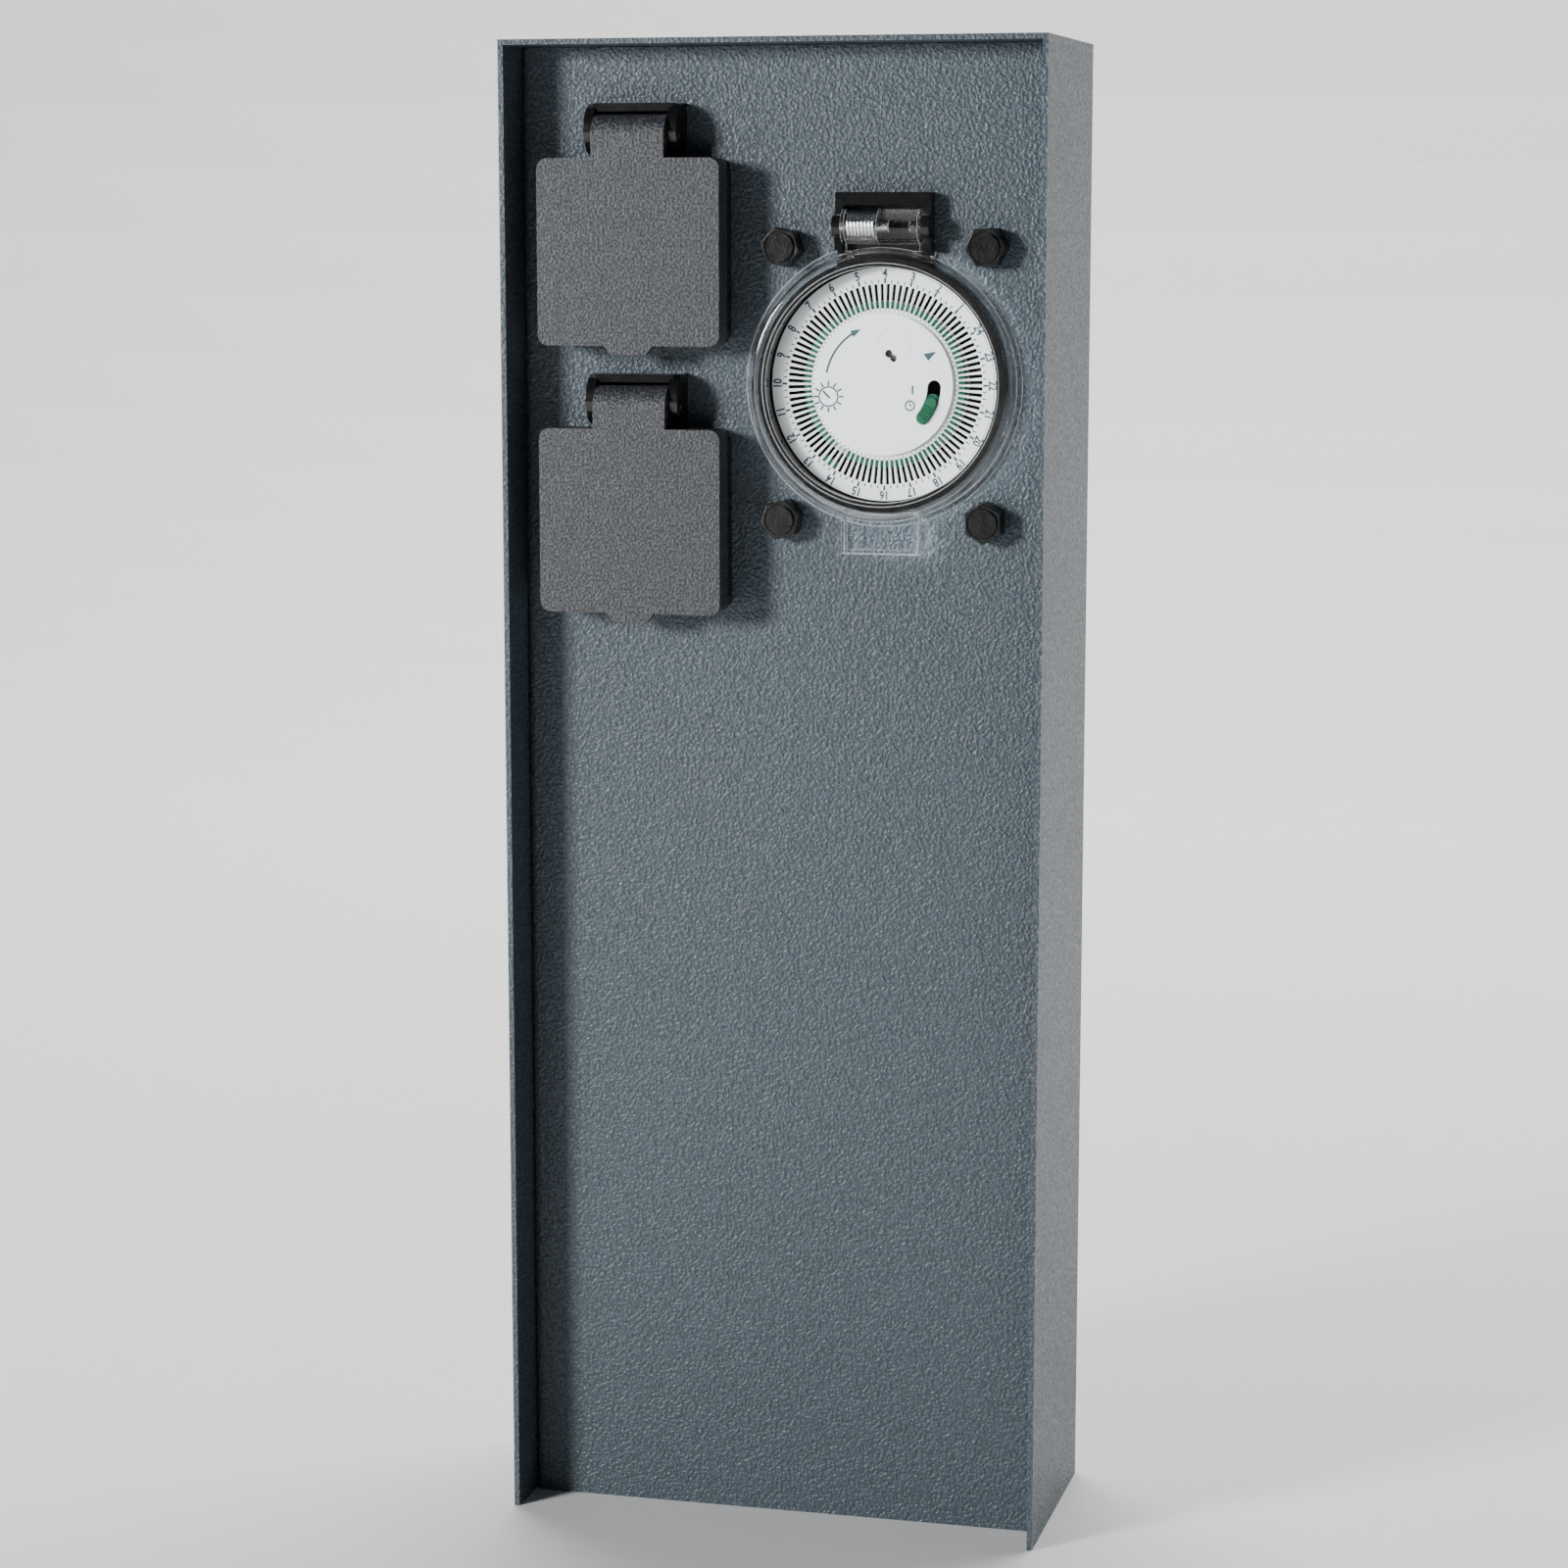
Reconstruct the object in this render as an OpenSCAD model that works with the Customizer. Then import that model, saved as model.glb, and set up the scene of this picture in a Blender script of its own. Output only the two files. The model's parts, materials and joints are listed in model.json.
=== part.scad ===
// Garden power pillar: a folded sheet-steel column that carries two covered sockets and a
// 24-hour segment timer behind a clear lid. Millimetres, +Z up, the front faces -Y.
// The origin is the middle of the footprint, on the ground.

/* [Column] */
// Width of the column
body_w = 150; // [146:1:170]
// Depth of the column
body_d = 70; // [66:1:90]
// Height of the column
body_h = 410; // [405:1:520]
// Thickness of the sheet steel
sheet = 1.5; // [1.2:0.1:1.8]
// Outer radius of the folds
fold_r = 2.5; // [2.2:0.1:3]
// How far the front panel stands back from the front edges
recess = 15; // [14.5:0.5:18]

/* [Sockets] */
// Middle of both sockets, across
sock_x = -39.4; // [-42:0.1:-36]
// Middle of the upper socket, above the ground
upper_z = 353.6; // [350:0.1:356]
// Distance between the two sockets
sock_pitch = 72.3; // [70:0.1:80]
// Width of a socket lid and its flange
lid_w = 51; // [50:0.5:53]
// Height of a socket lid and its flange
lid_h = 50; // [49:0.5:51]
// How far the lid stands out from the panel
lid_out = 13.6; // [13.4:0.1:14]
// Radius of the plug well
well_r = 19.5; // [19:0.1:19.6]
// Depth of the plug well
well_depth = 17.5; // [17:0.1:18]
// Distance between the two contact holes
contact_pitch = 19; // [18:0.5:20]
// Distance between the flange screws, both ways
flange_pitch = 38; // [37:0.5:39]

/* [Timer] */
// Middle of the timer, across
timer_x = 28.9; // [26:0.1:30]
// Middle of the timer, above the ground
timer_z = 318.5; // [300:0.5:325]
// Outer radius of the dial ring
dial_r = 31.2; // [31:0.1:31.3]
// Outer radius of the black collar
collar_r = 34; // [33.8:0.1:34.2]
// Outer radius of the clear lid's rim
rim_r = 38; // [37.8:0.1:38.5]
// Number of quarter-hour segments
segments = 96; // [96]
// Distance between the fixing screws, across
fix_w = 56; // [56:0.5:58]
// Distance between the fixing screws, upwards
fix_h = 73; // [72:0.5:76]

/* [Base] */
// Height of the inverted base tray
tray_h = 15; // [13:1:20]
// Distance between the anchor holes, across
anchor_w = 110; // [100:1:112]
// Distance between the anchor holes, front to back
anchor_d = 30; // [26:1:30]
// Radius of the anchor holes
anchor_r = 4.5; // [3.5:0.5:5]

/* [Hidden] */
$fn = 64;
cut = 0.1;
front_y = -body_d / 2;
panel_y = front_y + recess;
lower_z = upper_z - sock_pitch;
back_y = body_d / 2;
inner_w = body_w - 2 * sheet;
cap_flange = 12;
panel_lip = 12;
tray_t = 2;
tray_w = inner_w - 2 * sheet - 2.4;
tray_front = panel_y + sheet;
tray_back = back_y - sheet;
anchor_y = 8;
gland_x = 32;
// Rear service opening
door_w = 100;
door_z0 = 45;
door_z1 = 195;
ledge = 8;
door_screw_x = door_w / 2 - 3.4;
door_screw_z = [door_z0 + 10, door_z1 - 10];
door_gap = 0.2;
// Socket hinge, measured from the middle of the lid on the panel's face
hinge_y = 6 - lid_out;
hinge_z = lid_h / 2 + 5.6;
barrel_r = 5.95;
neck_w = 20.3;
cheek_t = 2.6;
seal_r = lid_h / 2 - 3.3;
// Hinge of the clear lid, measured from the middle of the dial on the panel's face
clasp_y = -5.6;
clasp_z = 42;
clasp_r = 4.6;
clasp_w = 21;
// Dial and gears
tick = 360 / segments;
slot_w = 0.92;
slot_in = 20.2;
slot_out = 26.8;
peg_len = 1.8;
peg_travel = slot_out - slot_in - peg_len - 0.4;
on_pegs = [37, 38, 39];
hub_r = 19.2;
tooth = 0.5;
ring_teeth = 80;
pinion_teeth = 10;
marker_teeth = 16;
gear_dir = 75;
pinion_r = tooth * (ring_teeth - pinion_teeth) / 2;
marker_r = pinion_r - tooth * (pinion_teeth + marker_teeth) / 2;
switch_r = 13.8;
switch_from = -2;
switch_to = -39;
wire_r = 1.2;

// Helpers: round and flat stock that runs front to back or across
module rod_y(r, y0, y1) translate([0, y1, 0]) rotate([90, 0, 0]) cylinder(r = r, h = y1 - y0);
module rod_x(r, x0, x1) translate([x0, 0, 0]) rotate([0, 90, 0]) cylinder(r = r, h = x1 - x0);
module box(x, y, z) translate([x[0], y[0], z[0]]) cube([x[1] - x[0], y[1] - y[0], z[1] - z[0]]);
module tube_y(outer, inner, y0, y1) difference() {
    rod_y(outer, y0, y1);
    rod_y(inner, y0 - cut, y1 + cut);
}
module rounded(w, h, r) {
    square([w - 2 * r, h], center = true);
    square([w, h - 2 * r], center = true);
    for (sx = [-1, 1], sz = [-1, 1]) translate([sx * (w / 2 - r), sz * (h / 2 - r)]) circle(r);
}
module face(y0, y1) translate([0, y1, 0]) rotate([90, 0, 0]) linear_extrude(y1 - y0) children();
module plate(w, h, r, y0, y1) face(y0, y1) rounded(w, h, r);
module side(x0, x1) translate([x0, 0, 0]) rotate([90, 0, 90]) linear_extrude(x1 - x0) children();
module hex_y(across, y0, y1) translate([0, y1, 0]) rotate([90, 0, 0])
    cylinder(d = across / cos(30), h = y1 - y0, $fn = 6);
module at_corners(w, h) for (sx = [-1, 1], sz = [-1, 1]) translate([sx * w / 2, 0, sz * h / 2])
    children();
module on_panel(x, z) translate([x, panel_y, z]) children();
module in_timer() on_panel(timer_x, timer_z) children();
// A turn about the dial's axis, counter-clockwise as seen from the front
module turn(a) rotate([0, -a, 0]) children();

// A tube that follows a list of points, with flat ends
function unit(v) = v / norm(v);
function way(p, i) = unit(p[min(i + 1, len(p) - 1)] - p[max(i - 1, 0)]);
function lean(t) = unit(cross(t, [0.23, 0.91, 0.34]));
module tube(p, r, n = 8) {
    rings = [for (i = [0:len(p) - 1]) let (t = way(p, i), u = lean(t), v = cross(t, u))
        for (k = [0:n - 1]) p[i] + r * (cos(360 * k / n) * u + sin(360 * k / n) * v)];
    walls = [for (i = [0:len(p) - 2], k = [0:n - 1]) let (j = (k + 1) % n)
        [i * n + k, (i + 1) * n + k, (i + 1) * n + j, i * n + j]];
    first = [for (k = [0:n - 1]) k];
    last = [for (k = [n - 1:-1:0]) (len(p) - 1) * n + k];
    polyhedron(rings, concat([first], walls, [last]), convexity = 6);
}
// A corner between two runs of wire, as points on a quarter of a parabola
function bend(a, b, c, d) = [for (t = [0:0.25:1])
    let (s = b + d * unit(a - b), e = b + d * unit(c - b))
    (1 - t) * (1 - t) * s + 2 * t * (1 - t) * b + t * t * e];
function route(p, d) = concat([p[0]],
    [for (i = [1:len(p) - 2]) each bend(p[i - 1], p[i], p[i + 1], d)], [p[len(p) - 1]]);
// A coil about the X axis
function coil(x0, x1, r, turns) = [for (i = [0:18 * turns])
    [x0 + (x1 - x0) * i / (18 * turns), r * cos(20 * i), r * sin(20 * i)]];

// Column
module footprint(w, d, r, y0) translate([0, y0]) {
    translate([-w / 2, 0]) square([w, d - r]);
    translate([-w / 2 + r, 0]) square([w - 2 * r, d]);
    for (s = [-1, 1]) translate([s * (w / 2 - r), d - r]) circle(r);
}
module cap_profile(r, t) {
    translate([front_y, body_h - t]) square([body_d - r, t]);
    translate([back_y - t, body_h - cap_flange]) square([t, cap_flange - r]);
    intersection() {
        difference() {
            translate([back_y - r, body_h - r]) circle(r);
            translate([back_y - r, body_h - r]) circle(r - t);
        }
        translate([back_y - r, body_h - r]) square(r);
    }
}
module housing_shell() color("#4a545c") {
    difference() {
        linear_extrude(body_h - sheet) difference() {
            footprint(body_w, body_d, fold_r, front_y);
            footprint(inner_w, body_d - sheet + 1, fold_r - sheet, front_y - 1);
        }
        box([-body_w, body_w], [back_y - sheet, back_y + 1], [body_h - cap_flange, body_h]);
        box([-door_w / 2, door_w / 2], [back_y - sheet - 1, back_y + 1], [door_z0, door_z1]);
        for (x = [-1, 1]) translate([x * 40, 0, tray_h / 2]) rod_y(2.1, 0, back_y + 1);
    }
    for (s = [-1, 1]) difference() {
        translate([s * door_w / 2, 0, 0]) box([-ledge, ledge],
            [back_y - 2 * sheet, back_y - sheet], [door_z0 - 5, door_z1 + 5]);
        for (z = door_screw_z) translate([s * door_screw_x, 0, z]) rod_y(1.55, 0, back_y);
    }
}
module top_cap() color("#4a545c") intersection() {
    side(-body_w / 2, body_w / 2) cap_profile(fold_r, sheet);
    linear_extrude(body_h + 1) footprint(body_w, body_d, fold_r, front_y);
}
module front_panel() color("#56646e") difference() {
    linear_extrude(body_h - sheet - 0.2) difference() {
        mirror([0, 1]) footprint(inner_w, sheet + panel_lip, fold_r, -panel_y - sheet - panel_lip);
        translate([0, 1]) mirror([0, 1])
            footprint(inner_w - 2 * sheet, panel_lip + 1, fold_r - sheet,
                -panel_y - sheet - panel_lip);
    }
    for (z = [upper_z, lower_z]) on_panel(sock_x, z) {
        rod_y(well_r + 2.5, -1, sheet + 1);
        at_corners(flange_pitch, flange_pitch) rod_y(1.7, -1, sheet + 1);
    }
    in_timer() {
        rod_y(collar_r - 1.6, -1, sheet + 1);
        at_corners(fix_w, fix_h) rod_y(3.2, -1, sheet + 1);
    }
}

// Base and supply
module base_tray() color("#8d9499") difference() {
    box([-tray_w / 2, tray_w / 2], [tray_front, tray_back], [0, tray_h]);
    box([-tray_w / 2 + tray_t, tray_w / 2 - tray_t], [tray_front + tray_t, tray_back - tray_t],
        [-1, tray_h - tray_t]);
    for (sx = [-1, 1], sy = [-1, 1])
        translate([sx * anchor_w / 2, anchor_y + sy * anchor_d / 2, 0]) cylinder(r = anchor_r, h = 40);
    translate([gland_x, anchor_y, 0]) cylinder(r = 8.1, h = 40);
    translate([-60, anchor_y, 0]) cylinder(r = 2.55, h = 40);
    for (x = [-1, 1]) translate([x * 40, 0, tray_h / 2]) rod_y(1.65, 20, back_y);
}
module tray_screws() color("#9aa0a4") for (x = [-1, 1]) translate([x * 40, 0, tray_h / 2]) {
    rod_y(2, back_y - sheet, back_y);
    rod_y(1.6, tray_back - 6, back_y - sheet);
}
module service_cover() color("#4a545c") difference() {
    translate([0, 0, (door_z0 + door_z1) / 2]) plate(door_w - 2 * door_gap,
        door_z1 - door_z0 - 2 * door_gap, 2, back_y - sheet, back_y);
    for (s = [-1, 1], z = door_screw_z) translate([s * door_screw_x, back_y, z])
        rotate([90, 0, 0]) translate([0, 0, -cut]) cylinder(r1 = 3 + cut, r2 = 1.6, h = 1.4 + cut);
    for (s = [-1, 1], z = door_screw_z) translate([s * door_screw_x, 0, z])
        rod_y(1.6, 0, back_y + 1);
}
module service_cover_screws() color("#b9bdc0") for (s = [-1, 1], z = door_screw_z)
    translate([s * door_screw_x, back_y, z]) difference() {
        rotate([90, 0, 0]) union() {
            cylinder(r1 = 2.9, r2 = 1.5, h = 1.4);
            cylinder(r = 1.5, h = 8);
        }
        for (a = [0, 90]) rotate([0, a, 0]) box([-1.7, 1.7], [-0.7, 1], [-0.25, 0.25]);
    }
module cable_gland() color("#2b2d2f") translate([gland_x, anchor_y, tray_h]) difference() {
    union() {
        translate([0, 0, -tray_t - 8]) cylinder(r = 8, h = 9 + tray_t);
        cylinder(d = 22 / cos(30), h = 6, $fn = 6);
        translate([0, 0, 5]) cylinder(d = 20 / cos(30), h = 9, $fn = 6);
        translate([0, 0, 13]) cylinder(r1 = 9.6, r2 = 7, h = 6);
    }
    translate([0, 0, -20]) cylinder(r = 4.5, h = 60);
}
module gland_locknut() color("#2b2d2f") translate([gland_x, anchor_y, tray_h - tray_t - 5])
    difference() {
        cylinder(d = 22 / cos(30), h = 5, $fn = 6);
        translate([0, 0, -1]) cylinder(r = 8.05, h = 7);
    }
module terminal_bracket() color("#a9adb0") {
    box([-42, 12], [2, 3.5], [tray_h, 66]);
    box([-42, 12], [3.4, 22], [tray_h, tray_h + 1.5]);
}
module supply_terminal_block() color("#d9d6c8") difference() {
    box([-38, 8], [3.5, 20], [40, 58]);
    for (i = [0:3]) translate([-31 + 10.5 * i, 0, 0]) {
        translate([0, 12, 39]) cylinder(r = 1.6, h = 20);
        translate([0, 0, 49]) rod_y(2.2, 14, 21);
    }
    for (i = [0:2]) box([-26.4 + 10.5 * i, -25.4 + 10.5 * i], [8, 21], [39, 59]);
}
module supply_terminal_screws() color("#c9b066") for (i = [0:3])
    translate([-31 + 10.5 * i, 0, 49]) difference() {
        rod_y(2.1, 14.2, 17.5);
        box([-3, 3], [16.8, 18], [-0.3, 0.3]);
    }
module earth_stud() color("#c9b066") translate([-60, anchor_y, 0]) {
    translate([0, 0, tray_h - tray_t - 3]) cylinder(d = 8 / cos(30), h = 3, $fn = 6);
    translate([0, 0, tray_h - tray_t]) cylinder(r = 2.5, h = 16);
}
module earth_nut() color("#c9b066") translate([-60, anchor_y, tray_h]) difference() {
    union() {
        cylinder(r = 5, h = 1);
        translate([0, 0, 1]) cylinder(d = 8 / cos(30), h = 4, $fn = 6);
    }
    translate([0, 0, -1]) cylinder(r = 2.55, h = 8);
}
// Wires run from the top of the supply block up behind the devices
module wire(x, y, lane, top, end) tube(route([[x, 12, 57], [x, 12, 90], [lane, y, 130],
    [lane, y, top], end], 8), wire_r);
module internal_wires() color("#2f5f9e") {
    wire(-31, 16, -50, timer_z - 90, [sock_x - contact_pitch / 2, 6, lower_z - 20.6]);
    wire(-20.5, 20, -30, timer_z - 90, [sock_x + contact_pitch / 2, 6, lower_z - 20.6]);
    wire(-10, 22, timer_x - 3.5, timer_z - 40, [timer_x - 3.5, panel_y + 41, timer_z - 12.1]);
    wire(0.5, 18, timer_x + 3.5, timer_z - 40, [timer_x + 3.5, panel_y + 41, timer_z - 12.1]);
}

// Sockets, drawn about the middle of the lid on the panel's face
module socket_gasket() color("#1b1c1d") difference() {
    plate(lid_w - 1, lid_h - 1.2, 3.5, -1, 0);
    rod_y(well_r + 2.2, -2, 1);
    at_corners(flange_pitch, flange_pitch) rod_y(1.7, -2, 1);
}
module cheek_profile() {
    translate([-4, lid_h / 2 - 0.4]) square([4, 15]);
    translate([-5, lid_h / 2 - 3]) square([4, 5]);
    intersection() {
        translate([-4, lid_h / 2 + 7.6]) circle(7);
        translate([-12, lid_h / 2]) square([12, 20]);
    }
}
module socket_frame() color("#232527") difference() {
    union() {
        plate(lid_w, lid_h, 4, -5, -1);
        rod_y(well_r + 2, -2, 15.5);
        for (s = [-1, 1]) translate([s * (neck_w + cheek_t + 0.3) / 2, 0, 0])
            side(-cheek_t / 2, cheek_t / 2) cheek_profile();
        box([-neck_w / 2 - 1, neck_w / 2 + 1], [-1.1, 0], [lid_h / 2 - 0.4, lid_h / 2 + 14.6]);
        box([-neck_w / 2 - 1, neck_w / 2 + 1], [-8, 0], [lid_h / 2 + 12.4, lid_h / 2 + 14.6]);
    }
    rod_y(well_r, -6, well_depth - 5);
    for (s = [-1, 1]) translate([s * contact_pitch / 2, 0, 0]) rod_y(3, 5, 20);
    for (s = [-1, 1]) scale([1, 1, s]) box([-2.6, 2.6], [-4, 16], [18.5, 20.9]);
    at_corners(flange_pitch, flange_pitch) {
        rod_y(1.7, -6, 0);
        rod_y(3, -6, -3);
    }
    translate([0, hinge_y, hinge_z]) rod_x(1.2, -20, 20);
}
module contact_carrier() color("#d8d3c4") difference() {
    rod_y(well_r + 1, 16.4, 30);
    for (s = [-1, 1]) translate([s * contact_pitch / 2, 0, 0]) {
        rod_y(3.5, 16, 29);
        translate([0, 26, -30]) cylinder(r = 1.5, h = 30);
    }
}
module contact_sleeves() color("#c9a24a") for (s = [-1, 1])
    translate([s * contact_pitch / 2, 0, 0]) tube_y(3.4, 2.45, 16.5, 28.8);
module earth_bow() color("#c9ccd0") {
    box([-2.3, 2.3], [15.6, 16.3], [-20.6, 20.6]);
    for (s = [-1, 1]) scale([1, 1, s]) {
        box([-2.3, 2.3], [-3.2, 16.3], [19.9, 20.6]);
        translate([0, -1.5, 19.6]) rod_x(1.1, -2.3, 2.3);
    }
}
module flange_screws() color("#2a2b2c") at_corners(flange_pitch, flange_pitch) difference() {
    union() {
        rod_y(2.8, -4.9, -3);
        rod_y(1.5, -3.1, 6);
    }
    for (a = [0, 90]) turn(a) box([-1.6, 1.6], [-5, -4.1], [-0.3, 0.3]);
}
module flange_nuts() color("#b9bdc0") at_corners(flange_pitch, flange_pitch) difference() {
    hex_y(5.5, sheet, sheet + 2.4);
    rod_y(1.55, 0, 6);
}
module socket_lid() color("#3a3b3d") difference() {
    union() {
        difference() {
            plate(lid_w, lid_h, 3, -lid_out + 1, -5.2);
            plate(lid_w - 4, lid_h - 4, 2, -lid_out + 2.2, -5);
        }
        face(-lid_out, -lid_out + 2.2) {
            rounded(lid_w, lid_h, 3);
            translate([-neck_w / 2, 0]) square([neck_w, hinge_z]);
            polygon([[-6.8, 1 - lid_h / 2], [-6.8, -lid_h / 2], [-4.9, -lid_h / 2 - 2.4],
                [4.9, -lid_h / 2 - 2.4], [6.8, -lid_h / 2], [6.8, 1 - lid_h / 2]]);
        }
        tube_y(seal_r + 1, seal_r - 1, -lid_out + 2, -7.2);
        translate([0, hinge_y, hinge_z]) rod_x(barrel_r, -neck_w / 2, neck_w / 2);
    }
    translate([0, hinge_y, hinge_z]) {
        rod_x(1.26, -20, 20);
        rod_x(4.3, -6.5, 6.5);
        box([-6.5, 6.5], [2, 7], [-2.6, 2.6]);
    }
}
module lid_seal() color("#17181a") tube_y(seal_r + 1, seal_r - 1, -7.2, -5.1);
module hinge_pin() color("#c4c8cc") translate([0, hinge_y, hinge_z]) rod_x(1.2, -12.7, 12.7);
module lid_spring() color("#d5d8da") translate([0, hinge_y, hinge_z])
    tube(coil(-5.4, 5.4, 2.9, 8), 0.45, 6);
module upper() on_panel(sock_x, upper_z) children();
module lower() on_panel(sock_x, lower_z) children();
module both() {
    upper() children();
    lower() children();
}

// Timer, drawn about the middle of the dial on the panel's face
module timer_collar() color("#1d1f21") difference() {
    union() {
        rod_y(collar_r, -6, -0.5);
        rod_y(collar_r - 1.8, -0.6, 10);
        difference() {
            box([-13.2, 13.2], [-1.3, 0], [29, 51]);
            rod_y(collar_r + 0.3, -0.5, 1);
            box([-10.8, 10.8], [-2, -0.6], [clasp_z - 5, clasp_z + 5]);
        }
        box([-11, 11], [-5, 0], [47.6, 51]);
        for (s = [-1, 1]) scale([s, 1, 1]) side(10.8, 13.2) {
            translate([-5, 35.6]) square([5, 15.4]);
            translate([clasp_y, clasp_z]) circle(3);
        }
        translate([0, clasp_y, clasp_z]) rod_x(1, 8.2, 11);
    }
    rod_y(dial_r + 0.4, -7, 0.7);
    rod_y(30.4, 0, 11);
    translate([0, clasp_y, clasp_z]) rod_x(1, -20, 0);
}
module collar_seal() color("#17181a") tube_y(collar_r, collar_r - 1.6, -0.5, 0);
module retaining_ring() color("#2b2d2f") difference() {
    tube_y(37.5, collar_r - 1.7, sheet + 2, sheet + 7);
    for (a = [0:60:300]) turn(a + 30) box([35.6, 40], [sheet + 3.5, sheet + 8], [-3, 3]);
}
module mounting_plate() color("#9aa0a4") difference() {
    plate(fix_w + 16, fix_h + 17, 4, sheet, sheet + 2);
    rod_y(collar_r - 1.4, 0, 5);
    at_corners(fix_w, fix_h) rod_y(3.2, 0, 5);
}
module fixing_screws() color("#26282a") for (i = [0:3])
    translate([(i % 2 - 0.5) * fix_w, 0, (floor(i / 2) - 0.5) * fix_h]) turn(14 + 17 * i) {
        difference() {
            hex_y(9.8, -6, 0);
            tube_y(4.3, 3.8, -7, -5.6);
        }
        rod_y(3.7, -6.6, -5.7);
        rod_y(3, -1, 11);
    }
module fixing_nuts() color("#b9bdc0") at_corners(fix_w, fix_h) difference() {
    hex_y(10, sheet + 2, sheet + 7);
    rod_y(3.05, 0, 12);
}
module timer_case() color("#2b2d2f") difference() {
    rod_y(30.2, 0.8, 36);
    rod_y(28.7, 0, 34.5);
}
module movement_plate() color("#202224") difference() {
    union() {
        rod_y(28.5, 5.4, 7);
        for (a = [130, 200, 270]) turn(a) translate([15.5, 0, 0]) rod_y(1.2, -1, 5.5);
    }
    translate([2.5, 0, -12.5]) rod_y(0.65, 5, 8);
    turn(gear_dir) translate([pinion_r, 0, 0]) rod_y(0.85, 5, 8);
    turn(gear_dir) translate([marker_r, 0, 0]) rod_y(0.85, 5, 8);
}
module drive_motor() color("#b4b8bb") turn(gear_dir) translate([pinion_r, 0, 0]) difference() {
    rod_y(10.5, 7, 19);
    rod_y(0.85, 6, 13);
}
module microswitch() color("#202224") difference() {
    box([-13, -3], [1.6, 5.4], [-12, -6]);
    for (x = [-11, -5]) translate([x, 0, -9]) rod_y(0.8, 1, 6);
}
module timer_terminals() color("#d9d6c8") difference() {
    box([-15, 15], [36, 46], [-12, 0]);
    for (i = [0:3]) translate([-10.5 + 7 * i, 0, -6]) {
        rod_y(1.8, 42, 47);
        translate([0, 41, -7]) cylinder(r = 1.5, h = 9);
    }
}
module arc_slot(r, w, a0, a1) {
    intersection() {
        difference() {
            circle(r + w);
            circle(r - w);
        }
        polygon([[0, 0], 2 * r * [cos(a0), sin(a0)], 2 * r * [cos(a1), sin(a1)]]);
    }
    for (a = [a0, a1]) translate(r * [cos(a), sin(a)]) circle(w);
}
module centre_disc() color("#f2f3f3") difference() {
    union() {
        rod_y(18.9, -2, -1);
        tube_y(hub_r, 17.4, -1.1, 1.2);
    }
    face(-3, 0) arc_slot(switch_r, 1.85, switch_to, switch_from);
    translate([1.3, 0, 8.3]) rod_y(1.05, -3, 0);
    translate([2.55, 0, 7.1]) rod_y(0.95, -3, 0);
    turn(gear_dir) translate([marker_r, 0, 0]) tube_y(4.6, 4.35, -3, -1.85);
}
// Gear outlines: straight-flanked teeth, one tooth on the local X axis
module gear_teeth(n, root, tip, first, foot, crest) polygon([for (i = [0:n - 1], k = [0:3])
    let (a = first + 360 / n * (i + [-foot, -crest, crest, foot][k]),
        r = k == 0 || k == 3 ? root : tip) r * [cos(a), sin(a)]]);
module program_dial() color("#f4f5f5") {
    face(-1, -0.1) difference() {
        circle(dial_r, $fn = 128);
        circle(hub_r + 0.1, $fn = 128);
        for (i = [0:segments - 1]) rotate(tick * (i + 0.5))
            translate([slot_in, -slot_w / 2]) square([slot_out - slot_in, slot_w]);
    }
    tube_y(20.1, hub_r + 0.1, -0.2, 1.6);
    tube_y(22.3, hub_r + 0.1, 1.4, 2.1);
    face(2, 4.6) difference() {
        circle(22.3);
        gear_teeth(ring_teeth, 19.65, 20.6, gear_dir, 0.33, 0.17);
    }
}
module peg(i, out) turn(90 + tick * (i + 0.5)) {
    r = slot_in + 0.2 + out;
    box([r, r + peg_len], [-1.25, 1.2], [-0.3, 0.3]);
}
module segments_off() color("#1f7a52") for (i = [0:segments - 1])
    if (len(search(i, on_pegs)) == 0) peg(i, 0);
module segment_on(k) color("#1f7a52") peg(on_pegs[k], peg_travel);
module drive_pinion() color("#d9d6c8") turn(gear_dir) translate([pinion_r, 0, 0]) {
    face(2.3, 4.4) gear_teeth(pinion_teeth, 1.95, 2.85, 0, 0.34, 0.13);
    rod_y(0.8, 4.3, 12.5);
}
module run_indicator() color("#3c3e41") turn(gear_dir) translate([marker_r, 0, 0]) {
    face(2.1, 4.4) gear_teeth(marker_teeth, 3.45, 4.35, 180 / marker_teeth, 0.34, 0.13);
    rod_y(4.1, -0.6, 2.2);
    rod_y(0.8, 4.3, 6.8);
}
module switch_lever() color("#d9d6c8") {
    face(2, 3.4) {
        polygon([[1.9, -11.9], [8.2, -6.9], [9, -7.9], [3.1, -13.1]]);
        polygon([[2.6, -13.3], [-1.8, -11.8], [-1.4, -10.6], [2.4, -11.7]]);
        translate([8.6, -7.4]) circle(0.8);
        translate([2.5, -12.5]) circle(1.3);
    }
    translate([2.5, 0, -12.5]) rod_y(0.6, 3.3, 6.8);
}
module mode_slider() color("#1f6b45") {
    difference() {
        face(-2.9, -0.8) arc_slot(switch_r, 1.65, switch_to + 0.4, switch_to + 18.6);
        for (a = [-37:3.2:-23]) turn(a) box([switch_r - 2.5, switch_r + 2.5], [-3.2, -2.6],
            [-0.18, 0.18]);
    }
    face(-0.9, -0.1) arc_slot(switch_r, 2.6, switch_to + 1, switch_to + 18);
    turn(-29.5) translate([10.6, 0, 0]) rod_y(0.8, -0.3, 3.2);
}
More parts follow.
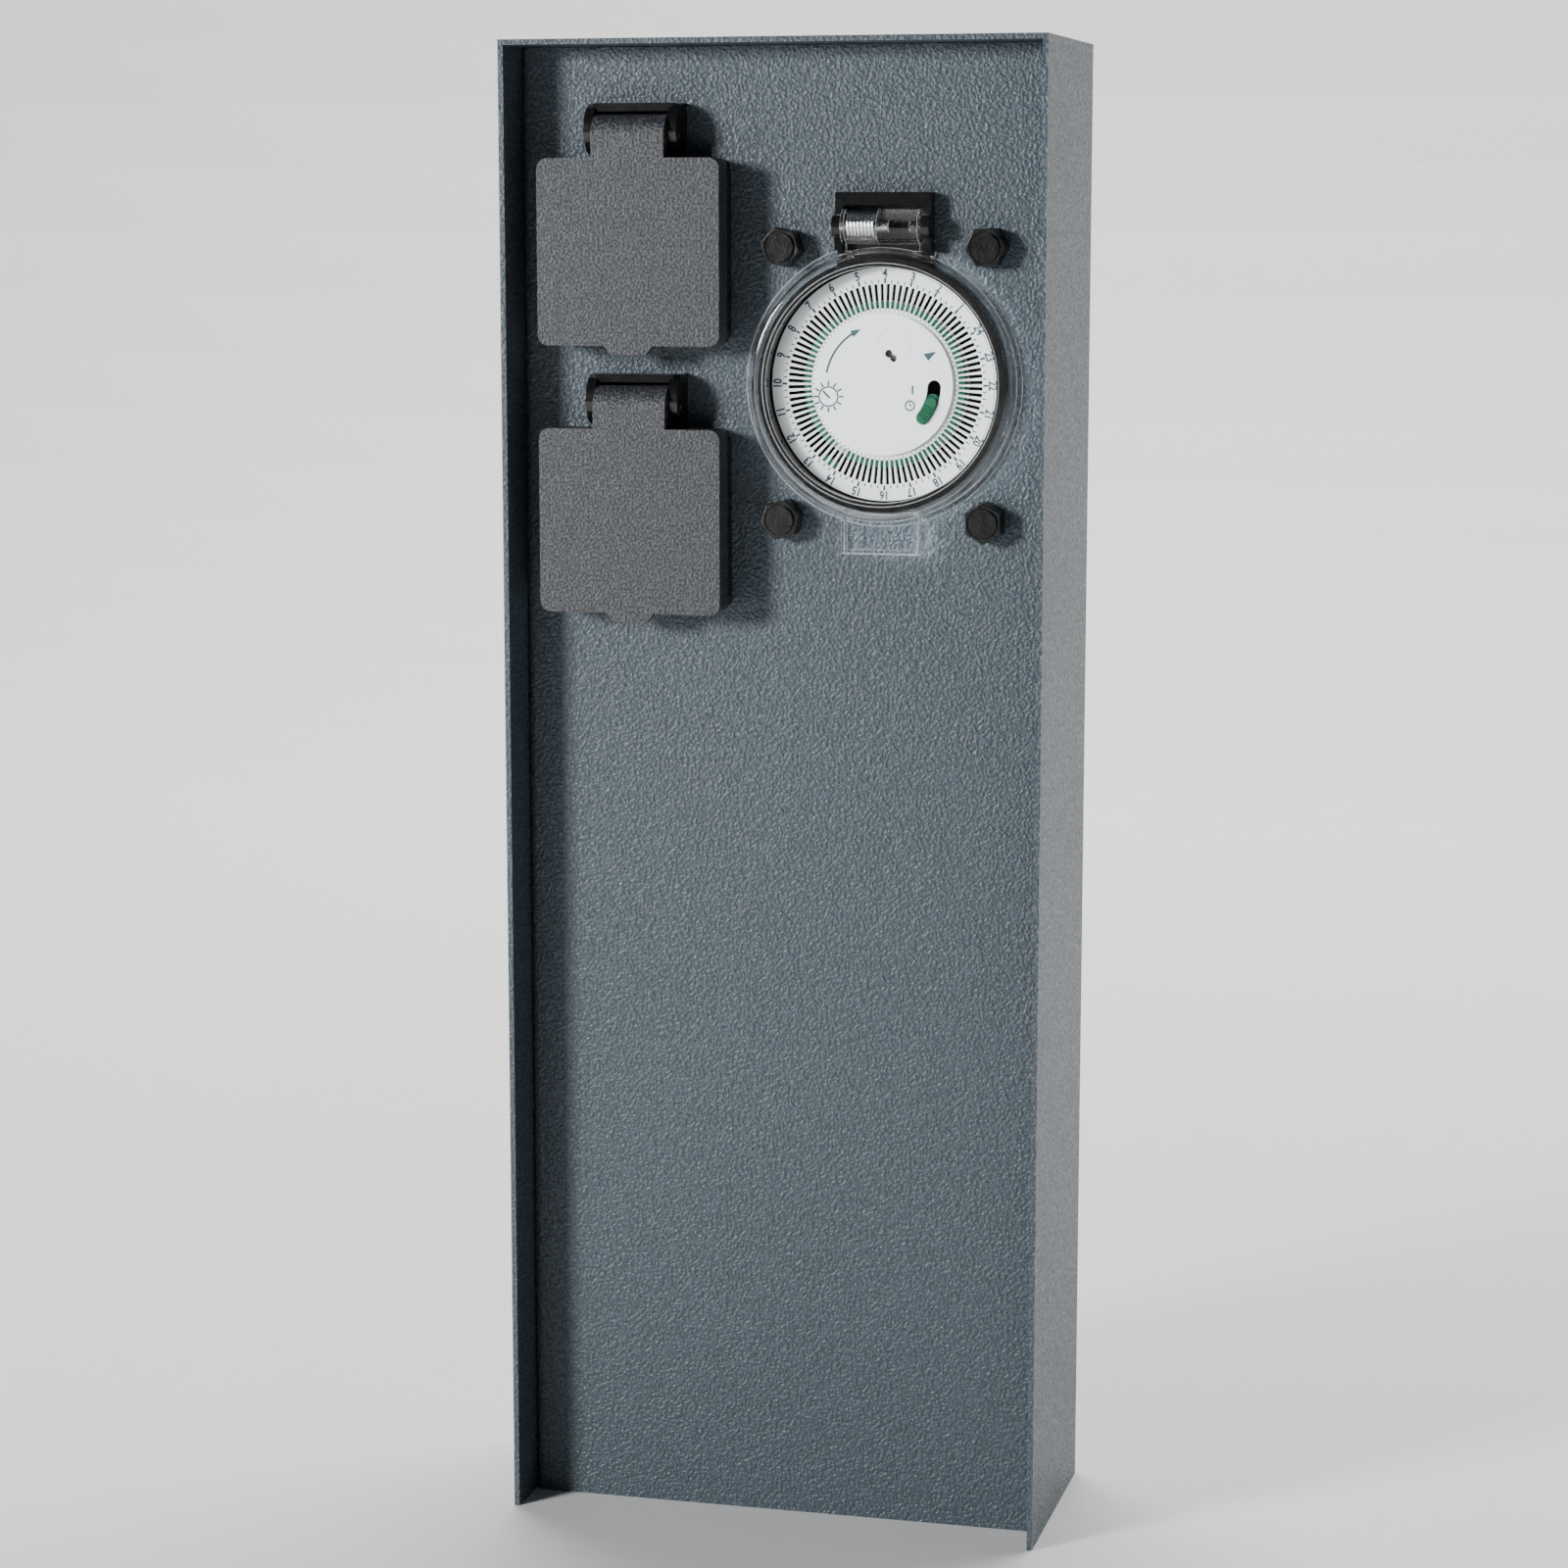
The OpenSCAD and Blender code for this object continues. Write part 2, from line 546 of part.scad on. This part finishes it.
// Clear lid: a shallow dish, revolved about the dial's axis
module dish() {
    difference() {
        union() {
            translate([0, 1.6]) square([36.4, 5.4]);
            translate([0, 1.6]) square([33.9, 7.9]);
            translate([33.9, 7]) circle(2.5);
            translate([0, 1.6]) square([rim_r, 1.6]);
        }
        translate([-1, 0]) square([36.2, 6.4]);
        translate([-1, 0]) square([34.9, 7.7]);
        translate([33.9, 6.4]) circle(1.3);
        translate([-40, 0]) square([40, 20]);
    }
    translate([31.4, 7.2]) square([1, 0.6]);
}
module clear_lid() color("#dfe7ea", 0.4) difference() {
    union() {
        difference() {
            rotate([90, 0, 0]) rotate_extrude($fn = 128) dish();
            box([-13.9, 13.9], [-3.3, 0], [34.2, 40]);
        }
        box([-10.2, 10.2], [-4.6, -1.9], [35.4, clasp_z]);
        translate([0, clasp_y, clasp_z]) rod_x(clasp_r, -clasp_w / 2, clasp_w / 2);
        difference() {
            union() {
                box([-10.7, 10.7], [-6.5, -5], [-45.3, -33]);
                for (s = [-1, 1]) scale([s, 1, 1]) box([9.5, 10.7], [-6.5, -1.7], [-45.3, -33]);
                box([-10.7, 10.7], [-6.5, -3.2], [-45.3, -44.1]);
            }
            rod_y(35.3, -12, 0);
        }
    }
    translate([0, clasp_y, clasp_z]) {
        rod_x(1.05, -20, 2.3);
        rod_x(1.05, 7.9, 20);
        rod_x(3.7, -9.7, -0.7);
    }
}
module clear_lid_pin() color("#c4c8cc") translate([0, clasp_y, clasp_z]) rod_x(1, -13, 2);
module clear_lid_spring() color("#eceeef") translate([0, clasp_y, clasp_z])
    tube(coil(-9.1, -1.3, 3, 8), 0.42, 6);

housing_shell();
top_cap();
front_panel();
base_tray();
tray_screws();
service_cover();
service_cover_screws();
cable_gland();
gland_locknut();
terminal_bracket();
supply_terminal_block();
supply_terminal_screws();
earth_stud();
earth_nut();
internal_wires();
both() flange_screws();
both() flange_nuts();
upper() socket_gasket();  // upper_socket_gasket
upper() socket_frame();  // upper_socket_frame
upper() contact_carrier();  // upper_contact_carrier
upper() contact_sleeves();  // upper_contact_sleeves
upper() earth_bow();  // upper_earth_bow
upper() socket_lid();  // upper_socket_lid
upper() lid_seal();  // upper_lid_seal
upper() hinge_pin();  // upper_hinge_pin
upper() lid_spring();  // upper_lid_spring
lower() socket_gasket();  // lower_socket_gasket
lower() socket_frame();  // lower_socket_frame
lower() contact_carrier();  // lower_contact_carrier
lower() contact_sleeves();  // lower_contact_sleeves
lower() earth_bow();  // lower_earth_bow
lower() socket_lid();  // lower_socket_lid
lower() lid_seal();  // lower_lid_seal
lower() hinge_pin();  // lower_hinge_pin
lower() lid_spring();  // lower_lid_spring
in_timer() timer_collar();
in_timer() collar_seal();
in_timer() retaining_ring();
in_timer() mounting_plate();
in_timer() fixing_screws();
in_timer() fixing_nuts();
in_timer() timer_case();
in_timer() movement_plate();
in_timer() drive_motor();
in_timer() microswitch();
in_timer() timer_terminals();
in_timer() centre_disc();
in_timer() program_dial();
in_timer() segments_off();
in_timer() segment_on(0);  // segment_on_1
in_timer() segment_on(1);  // segment_on_2
in_timer() segment_on(2);  // segment_on_3
in_timer() drive_pinion();
in_timer() run_indicator();
in_timer() mode_slider();
in_timer() switch_lever();
in_timer() clear_lid();
in_timer() clear_lid_pin();
in_timer() clear_lid_spring();
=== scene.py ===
import json
from math import cos, pi, radians, sin

import bmesh
import bpy
from mathutils import Matrix, Vector

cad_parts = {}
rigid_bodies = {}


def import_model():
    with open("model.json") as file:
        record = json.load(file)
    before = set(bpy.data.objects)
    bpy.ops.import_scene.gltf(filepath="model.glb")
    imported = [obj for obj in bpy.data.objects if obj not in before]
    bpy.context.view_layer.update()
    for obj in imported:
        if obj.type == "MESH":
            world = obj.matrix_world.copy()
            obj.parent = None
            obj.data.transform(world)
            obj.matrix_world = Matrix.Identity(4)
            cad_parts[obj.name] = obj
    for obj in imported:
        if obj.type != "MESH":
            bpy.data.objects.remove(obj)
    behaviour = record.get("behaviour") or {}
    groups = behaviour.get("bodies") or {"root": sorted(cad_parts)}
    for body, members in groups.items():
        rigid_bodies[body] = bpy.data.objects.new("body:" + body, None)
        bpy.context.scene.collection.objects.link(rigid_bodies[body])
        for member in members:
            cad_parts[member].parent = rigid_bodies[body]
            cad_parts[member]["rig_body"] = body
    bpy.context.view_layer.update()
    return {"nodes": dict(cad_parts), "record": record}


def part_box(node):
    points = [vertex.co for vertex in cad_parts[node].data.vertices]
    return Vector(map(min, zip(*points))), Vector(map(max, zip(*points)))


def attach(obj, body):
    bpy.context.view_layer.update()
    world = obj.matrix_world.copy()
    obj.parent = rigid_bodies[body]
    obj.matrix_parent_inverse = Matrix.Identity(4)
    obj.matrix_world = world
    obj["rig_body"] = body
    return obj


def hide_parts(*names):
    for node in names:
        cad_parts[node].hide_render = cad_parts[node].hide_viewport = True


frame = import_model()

MM = 0.001
nodes = frame["nodes"]

# Frame values that the looks hang on, in metres
dial_low, dial_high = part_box("program_dial")
disc_low, disc_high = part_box("centre_disc")
DIAL = Vector(((dial_low.x + dial_high.x) / 2, dial_low.y, (dial_low.z + dial_high.z) / 2))
DISC_FACE = disc_low.y
PRINT = 0.03 * MM


# ---------------------------------------------------------------- camera and light
def camera():
    data = bpy.data.cameras.new("camera")
    data.lens = 85.95
    data.sensor_width = 36
    data.shift_y = 0.027
    obj = bpy.data.objects.new("camera", data)
    obj.location = (0.25602, -1.00766, 0.36139)
    obj.rotation_euler = (pi / 2 - 0.1598, 0, 0.2531)
    bpy.context.scene.collection.objects.link(obj)
    bpy.context.scene.camera = obj


def area_light(name, place, aim, size, power, colour=(1, 1, 1)):
    data = bpy.data.lights.new(name, "AREA")
    data.shape = "RECTANGLE"
    data.size, data.size_y = size
    data.energy = power
    data.color = colour
    obj = bpy.data.objects.new(name, data)
    obj.location = place
    obj.rotation_euler = (Vector(aim) - Vector(place)).to_track_quat("-Z", "Y").to_euler()
    bpy.context.scene.collection.objects.link(obj)


def studio():
    area_light("key", (-1.15, -1.35, 0.64), (0, 0, 0.19), (0.36, 0.36), 39)
    area_light("side", (1.3, 0.2, 0.5), (0, 0, 0.2), (0.6, 0.9), 1.7, (1, 0.88, 0.82))
    area_light("streak", (0.75, -1.6, 0.9), (0, 0, 0.3), (0.05, 0.9), 0.6)
    area_light("backdrop", (0, 1.0, 2.4), (0, 1.9, 0.3), (3.0, 0.8), 100)
    world = bpy.data.worlds.new("studio")
    bpy.context.scene.world = world
    world.use_nodes = True
    tree = world.node_tree
    dim = tree.nodes["Background"]
    dim.inputs["Color"].default_value = (1, 1, 1, 1)
    dim.inputs["Strength"].default_value = 0.02
    seen = tree.nodes.new("ShaderNodeBackground")
    seen.inputs["Color"].default_value = (1, 1, 1, 1)
    seen.inputs["Strength"].default_value = 0.75
    ray = tree.nodes.new("ShaderNodeLightPath")
    mix = tree.nodes.new("ShaderNodeMixShader")
    tree.links.new(ray.outputs["Is Camera Ray"], mix.inputs[0])
    tree.links.new(dim.outputs["Background"], mix.inputs[1])
    tree.links.new(seen.outputs["Background"], mix.inputs[2])
    tree.links.new(mix.outputs["Shader"], tree.nodes["World Output"].inputs["Surface"])


def floor():
    """A pale floor that sweeps up into a backdrop."""
    bm = bmesh.new()
    bend, far, wide, steps = 0.5, 1.2, 4.0, 16
    line = [(-3.0, 0.0)] + [(far + bend * sin(a), bend * (1 - cos(a)))
                            for a in (pi / 2 * i / steps for i in range(steps + 1))]
    line.append((far + bend, 3.5))
    rows = [[bm.verts.new((x, y, z)) for x in (-wide, wide)] for y, z in line]
    for a, b in zip(rows, rows[1:]):
        bm.faces.new((a[0], a[1], b[1], b[0]))
    obj = finish_mesh("floor", bm, "floor")


# ---------------------------------------------------------------- materials
class Surface:
    """A node material around one Principled shader. Sizes are in millimetres."""

    def __init__(self, name, colour, roughness, **settings):
        self.name = name
        self.material = bpy.data.materials.new(name)
        self.material.use_nodes = True
        self.tree = self.material.node_tree
        self.shader = self.tree.nodes["Principled BSDF"]
        self.shader.inputs["Base Color"].default_value = (*colour, 1)
        self.shader.inputs["Roughness"].default_value = roughness
        for key, value in settings.items():
            self.shader.inputs[key.replace("_", " ")].default_value = value
        self.where = self.node("TexCoord").outputs["Object"]

    def node(self, kind, **settings):
        made = self.tree.nodes.new("ShaderNode" + kind)
        for key, value in settings.items():
            setattr(made, key, value)
        return made

    def link(self, output, node, name):
        self.tree.links.new(output, node.inputs[name])

    def noise(self, size, detail=2.0, stretch=(1, 1, 1)):
        """Noise with features of about this size."""
        place = self.node("Mapping")
        place.inputs["Scale"].default_value = stretch
        self.link(self.where, place, "Vector")
        made = self.node("TexNoise")
        made.inputs["Scale"].default_value = 1 / (size * MM)
        made.inputs["Detail"].default_value = detail
        self.link(place.outputs["Vector"], made, "Vector")
        return made.outputs["Fac"]

    def span(self, value, low, high, start=0.3, end=0.7):
        made = self.node("MapRange")
        self.link(value, made, "Value")
        for name, number in zip(("From Min", "From Max", "To Min", "To Max"),
                                (start, end, low, high)):
            made.inputs[name].default_value = number
        return made.outputs["Result"]

    def edges(self, radius):
        """1 along sharp edges, 0 on flat faces."""
        bevel = self.node("Bevel", samples=4)
        bevel.inputs["Radius"].default_value = radius * MM
        flat = self.node("NewGeometry").outputs["Normal"]
        dot = self.node("VectorMath", operation="DOT_PRODUCT")
        self.link(bevel.outputs["Normal"], dot, 0)
        self.link(flat, dot, 1)
        return self.span(dot.outputs["Value"], 1.0, 0.0, 0.8, 0.985)

    def times(self, a, b):
        made = self.node("Math", operation="MULTIPLY")
        self.link(a, made, 0)
        self.link(b, made, 1)
        return made.outputs["Value"]

    def tint(self, value, colour):
        """Moves the base colour towards another where value is 1."""
        mix = self.node("Mix", data_type="RGBA")
        base = self.shader.inputs["Base Color"]
        if base.is_linked:
            self.tree.links.new(base.links[0].from_socket, mix.inputs[6])
        else:
            mix.inputs[6].default_value = base.default_value
        mix.inputs[7].default_value = (*colour, 1)
        self.link(value, mix, 0)
        self.tree.links.new(mix.outputs[2], base)
        return self

    def rough(self, value, low, high):
        self.link(self.span(value, low, high), self.shader, "Roughness")
        return self

    def bump(self, value, depth, strength=1.0):
        made = self.node("Bump")
        made.inputs["Distance"].default_value = depth * MM
        made.inputs["Strength"].default_value = strength
        self.link(value, made, "Height")
        before = self.shader.inputs["Normal"]
        if before.is_linked:
            self.link(before.links[0].from_socket, made, "Normal")
        self.link(made.outputs["Normal"], self.shader, "Normal")
        return self


def powder_coat():
    s = Surface("powder_coat", (0.042, 0.059, 0.074), 0.48)
    s.tint(s.span(s.noise(60), 0, 0.5), (0.05, 0.069, 0.086))
    s.tint(s.span(s.noise(0.9, 1), 0, 0.7, 0.36, 0.7), (0.09, 0.12, 0.147))
    # Lighter in patches along sharp edges: part painted highlight where light catches them, part
    # thinner coat there.
    s.tint(s.times(s.edges(0.5), s.span(s.noise(4), 0.1, 0.5)), (0.13, 0.15, 0.165))
    s.rough(s.noise(0.9, 1), 0.56, 0.34)
    s.bump(s.noise(0.9, 1), 0.55)
    return s


def moulded(name, colour, rough, grain, depth, light=None, edge_wear_and_highlight=None, specks=None, **settings):
    """Moulded plastic: a grain, a slow change of tone, lighter specks, and lighter edges that are part
    wear and part painted highlight.
    """
    s = Surface(name, colour, rough, **settings)
    lighter = light or tuple(min(1, c * 1.35 + 0.004) for c in colour)
    s.tint(s.span(s.noise(9, 3), 0, 0.45), lighter)
    if specks:
        s.tint(s.span(s.noise(grain, 1), 0, 1, 0.42, 0.66), specks)
    if edge_wear_and_highlight:
        # Lighter in patches along sharp edges: part wear, part painted highlight where light catches
        # them.
        s.tint(s.times(s.edges(0.4), s.span(s.noise(1.5), 0, 0.6)), edge_wear_and_highlight)
    s.rough(s.noise(3, 4), rough * 0.85, min(1, rough * 1.15))
    s.bump(s.noise(grain, 2), depth)
    return s


def metal(name, colour, rough, brush=(1, 1, 0.04)):
    s = Surface(name, colour, rough, Metallic=1.0)
    s.tint(s.span(s.noise(6, 4), 0, 0.5), tuple(c * 0.7 for c in colour))
    s.rough(s.noise(0.6, 3, brush), rough * 0.7, rough * 1.4)
    s.bump(s.noise(0.25, 2, brush), 0.01)
    return s


def clear_plastic():
    """Clear plastic that lets lamps through, with faint moulding waves, fine scuffs and a painted
    white highlight along its edges.
    """
    s = Surface("clear_plastic", (0.993, 0.997, 1.0), 0.01)
    s.shader.inputs["Transmission Weight"].default_value = 1.0
    s.shader.inputs["IOR"].default_value = 1.49
    s.rough(s.noise(7, 5), 0.0, 0.03)
    s.bump(s.noise(14, 1), 0.02)
    # A white diffuse shader mixed in along the edges: a painted highlight for the glints on the clear
    # edges.
    painted_edge_highlight = s.node("BsdfDiffuse")
    painted_edge_highlight.inputs["Color"].default_value = (0.9, 0.92, 0.93, 1)
    edge_highlight_mix = s.node("MixShader")
    s.link(s.span(s.edges(0.3), 0, 0.7, 0, 1), edge_highlight_mix, 0)
    s.link(s.shader.outputs["BSDF"], edge_highlight_mix, 1)
    s.link(painted_edge_highlight.outputs["BSDF"], edge_highlight_mix, 2)
    through = s.node("BsdfTransparent")
    through.inputs["Color"].default_value = (0.97, 0.98, 0.98, 1)
    ray = s.node("LightPath")
    mix = s.node("MixShader")
    s.link(ray.outputs["Is Shadow Ray"], mix, 0)
    s.link(edge_highlight_mix.outputs["Shader"], mix, 1)
    s.link(through.outputs["BSDF"], mix, 2)
    s.link(mix.outputs["Shader"], s.tree.nodes["Material Output"], "Surface")
    return s


def all_materials():
    made = [
        powder_coat(),
        moulded("lid_plastic", (0.017, 0.0185, 0.022), 0.5, 0.7, 0.35, light=(0.02, 0.0215, 0.025),
                edge_wear_and_highlight=(0.085, 0.09, 0.1), specks=(0.085, 0.091, 0.104)),
        moulded("frame_plastic", (0.006, 0.0062, 0.0068), 0.2, 3.0, 0.03),
        moulded("black_plastic", (0.005, 0.0051, 0.0056), 0.26, 1.5, 0.02, edge_wear_and_highlight=(0.03, 0.03, 0.032)),
        moulded("screw_black", (0.003, 0.003, 0.0033), 0.3, 0.8, 0.08, edge_wear_and_highlight=(0.045, 0.045, 0.047)),
        moulded("seal_rubber", (0.012, 0.012, 0.0125), 0.7, 0.5, 0.03),
        moulded("terminal_plastic", (0.66, 0.63, 0.53), 0.42, 0.6, 0.02),
        moulded("movement_plastic", (0.74, 0.73, 0.66), 0.38, 0.7, 0.02),
        moulded("dial_white", (0.92, 0.94, 0.96), 0.33, 2.0, 0.006, light=(0.94, 0.955, 0.97)),
        moulded("segment_green", (0.005, 0.085, 0.042), 0.3, 0.6, 0.01, light=(0.008, 0.12, 0.06)),
        moulded("indicator_grey", (0.05, 0.05, 0.054), 0.4, 0.6, 0.01),
        moulded("wire_sheath", (0.03, 0.09, 0.3), 0.4, 0.9, 0.03),
        moulded("floor", (0.86, 0.86, 0.855), 0.8, 4.0, 0.05, light=(0.88, 0.88, 0.875)),
        moulded("print_teal", (0.002, 0.045, 0.05), 0.6, 0.3, 0.004, light=(0.003, 0.06, 0.062)),
        metal("zinc_steel", (0.5, 0.52, 0.53), 0.42),
        metal("bright_steel", (0.62, 0.63, 0.65), 0.26),
        metal("spring_steel", (0.78, 0.79, 0.8), 0.2, (1, 1, 1)),
        metal("brass", (0.7, 0.5, 0.21), 0.3),
        clear_plastic(),
    ]
    return {s.name: s.material for s in made}


# ---------------------------------------------------------------- mesh helpers
def finish_mesh(name, bm, material, body=None):
    """Turns bm into an object with one material, on a body."""
    bmesh.ops.recalc_face_normals(bm, faces=bm.faces)
    mesh = bpy.data.meshes.new(name)
    bm.to_mesh(mesh)
    bm.free()
    mesh.materials.append(MATERIALS[material])
    obj = bpy.data.objects.new(name, mesh)
    bpy.context.scene.collection.objects.link(obj)
    if body:
        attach(obj, body)
    return obj


def on_face(face_y, turn=0.0):
    """From flat (x right, y up, z out) to the timer's face, turned counter-clockwise."""
    place = Matrix.Translation((DIAL.x, face_y, DIAL.z))
    return place @ Matrix.Rotation(pi / 2, 4, "X") @ Matrix.Rotation(turn, 4, "Z")


def prism(bm, outline, matrix, low=-PRINT, high=PRINT):
    """A flat outline, extruded along its own z, then moved by matrix."""
    bottom = [bm.verts.new(matrix @ Vector((x, y, low))) for x, y in outline]
    top = [bm.verts.new(matrix @ Vector((x, y, high))) for x, y in outline]
    n = len(outline)
    bm.faces.new(top)
    bm.faces.new(bottom[::-1])
    for i in range(n):
        bm.faces.new((bottom[i], bottom[(i + 1) % n], top[(i + 1) % n], top[i]))


def bar(x0, x1, width):
    return [(x0, -width / 2), (x1, -width / 2), (x1, width / 2), (x0, width / 2)]


def ring_part(radius, width, start, end, steps=24):
    """A flat band along an arc, in degrees."""
    angles = [radians(start + (end - start) * i / steps) for i in range(steps + 1)]
    outer = [((radius + width / 2) * cos(a), (radius + width / 2) * sin(a)) for a in angles]
    inner = [((radius - width / 2) * cos(a), (radius - width / 2) * sin(a)) for a in angles]
    return outer + inner[::-1]


def shifted(outline, x, y):
    return [(a + x, b + y) for a, b in outline]


def figure(bm, text, height, matrix):
    """A generic number in Blender's own font, as thin raised print."""
    curve = bpy.data.curves.new("figure", "FONT")
    curve.body = text
    curve.size = height / 0.73
    curve.align_x = "CENTER"
    curve.align_y = "CENTER"
    curve.extrude = PRINT
    curve.offset = BOLD
    curve.resolution_u = 3
    obj = bpy.data.objects.new("figure", curve)
    bpy.context.scene.collection.objects.link(obj)
    mesh = bpy.data.meshes.new_from_object(obj.evaluated_get(bpy.context.evaluated_depsgraph_get()))
    mesh.transform(matrix)
    bm.from_mesh(mesh)
    bpy.data.objects.remove(obj)
    bpy.data.curves.remove(curve)
    bpy.data.meshes.remove(mesh)


# ---------------------------------------------------------------- dial print
HOURS = 24
TOP_HOUR = 4
NUMBER_R = 29.55 * MM
NUMBER_HEIGHT = 2.35 * MM
BOLD = 0.09 * MM
# Ticks outside and inside the slots: start, then end and width on the hour and between
OUTER_START, OUTER_HOUR, OUTER_QUARTER = 27.0 * MM, (28.35 * MM, 0.55 * MM), (27.9 * MM, 0.32 * MM)
INNER_START, INNER_HOUR, INNER_QUARTER, INNER_WIDTH = 19.55 * MM, 20.2 * MM, 20.05 * MM, 0.24 * MM


def dial_print():
    """Hour numbers, and ticks for every quarter of an hour, riding on the dial."""
    bm = bmesh.new()
    for hour in range(1, HOURS + 1):
        turn = radians((hour - TOP_HOUR) * 360 / HOURS)
        place = on_face(DIAL.y, turn) @ Matrix.Translation((0, NUMBER_R, 0))
        figure(bm, str(hour), NUMBER_HEIGHT, place @ Matrix.Diagonal((0.82, 1, 1, 1)))
    finish_mesh("dial_numbers", bm, "print_teal", "dial")
    bm = bmesh.new()
    quarters = 4 * HOURS
    for i in range(quarters):
        on_hour = i % 4 == 0
        spoke = on_face(DIAL.y, radians(90 + i * 360 / quarters))
        end, width = OUTER_HOUR if on_hour else OUTER_QUARTER
        prism(bm, bar(OUTER_START, end, width), spoke)
        prism(bm, bar(INNER_START, INNER_HOUR if on_hour else INNER_QUARTER, INNER_WIDTH), spoke)
    finish_mesh("dial_ticks", bm, "print_teal", "dial")


def disc_print():
    """On the fixed disc: turning arrow, clock, time pointer, and the slider's two signs."""
    bm = bmesh.new()
    face = on_face(DISC_FACE)
    prism(bm, ring_part(16.1 * MM, 0.55 * MM, 122, 169), face)
    head = Matrix.Rotation(radians(119), 4, "Z")
    prism(bm, [(15.1 * MM, 1.2 * MM), (17.1 * MM, 1.2 * MM), (16.0 * MM, -1.6 * MM)], face @ head)
    clock = face @ Matrix.Translation((-15.3 * MM, -3.3 * MM, 0))
    for i in range(12):
        prism(bm, bar(2.9 * MM, 4.2 * MM, 0.45 * MM), clock @ Matrix.Rotation(radians(30 * i), 4, "Z"))
    prism(bm, ring_part(2.6 * MM, 0.4 * MM, 0, 359.9, 40), clock)
    prism(bm, bar(-0.6 * MM, 2.2 * MM, 0.5 * MM), clock @ Matrix.Rotation(radians(135), 4, "Z"))
    prism(bm, [(14.4 * MM, 9.0 * MM), (10.8 * MM, 8.3 * MM), (12.2 * MM, 6.5 * MM)], face)
    prism(bm, shifted(bar(-0.25 * MM, 0.25 * MM, 2.4 * MM), 7.9 * MM, -1.3 * MM), face)
    small = face @ Matrix.Translation((7.2 * MM, -5.5 * MM, 0))
    prism(bm, ring_part(1.25 * MM, 0.38 * MM, 0, 359.9, 32), small)
    prism(bm, bar(0, 0.85 * MM, 0.3 * MM), small @ Matrix.Rotation(radians(90), 4, "Z"))
    prism(bm, bar(0, 0.7 * MM, 0.3 * MM), small)
    finish_mesh("disc_print", bm, "print_teal", "root")


# ---------------------------------------------------------------- carried-over nodes
# Width of the round on each node's sharp edges, in millimetres
SOFT_EDGES = {
    "housing_shell": 0.4, "top_cap": 0.4, "service_cover": 0.3, "base_tray": 0.4,
    "upper_socket_lid": 0.55, "lower_socket_lid": 0.55,
    "upper_socket_frame": 0.35, "lower_socket_frame": 0.35,
    "timer_collar": 0.25, "fixing_screws": 0.3, "mode_slider": 0.12, "clear_lid": 0.25,
    "cable_gland": 0.4,
}
SHARP = radians(40)
FLAT = radians(0.6)
SHORTEST = 0.9 * MM
WELD = 0.001 * MM


def soften(node, width):
    """A copy of a CAD node with rounded edges. It stands for the node."""
    source = nodes[node]
    bm = bmesh.new()
    bm.from_mesh(source.data)
    bmesh.ops.remove_doubles(bm, verts=bm.verts, dist=WELD)
    bmesh.ops.dissolve_limit(bm, angle_limit=FLAT, verts=bm.verts, edges=bm.edges)
    sharp = [e for e in bm.edges if len(e.link_faces) == 2 and e.calc_face_angle() > SHARP
             and e.calc_length() > SHORTEST]
    bmesh.ops.bevel(bm, geom=sharp, offset=width * MM, offset_type="OFFSET", segments=3,
                    profile=0.5, affect="EDGES", clamp_overlap=True)
    for face in bm.faces:
        face.smooth = True
    mesh = bpy.data.meshes.new(node + "_soft")
    bm.to_mesh(mesh)
    bm.free()
    mesh.set_sharp_from_angle(angle=SHARP)
    mesh.materials.append(source.material_slots[0].material)
    obj = bpy.data.objects.new(node + "_soft", mesh)
    bpy.context.scene.collection.objects.link(obj)
    normals = obj.modifiers.new("normals", "WEIGHTED_NORMAL")
    normals.keep_sharp = True
    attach(obj, source["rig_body"])
    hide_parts(node)


SLOT = {p["node"]: p["material_slot"] for p in frame["record"]["subparts"]}


def dress_nodes():
    """Gives every CAD node its material, and rounds the edges that show."""
    for node, obj in nodes.items():
        for place in obj.material_slots:
            place.link = "OBJECT"
            place.material = MATERIALS[SLOT[node]]
    for node, width in SOFT_EDGES.items():
        soften(node, width)


MATERIALS = all_materials()
camera()
studio()
floor()
dress_nodes()
dial_print()
disc_print()
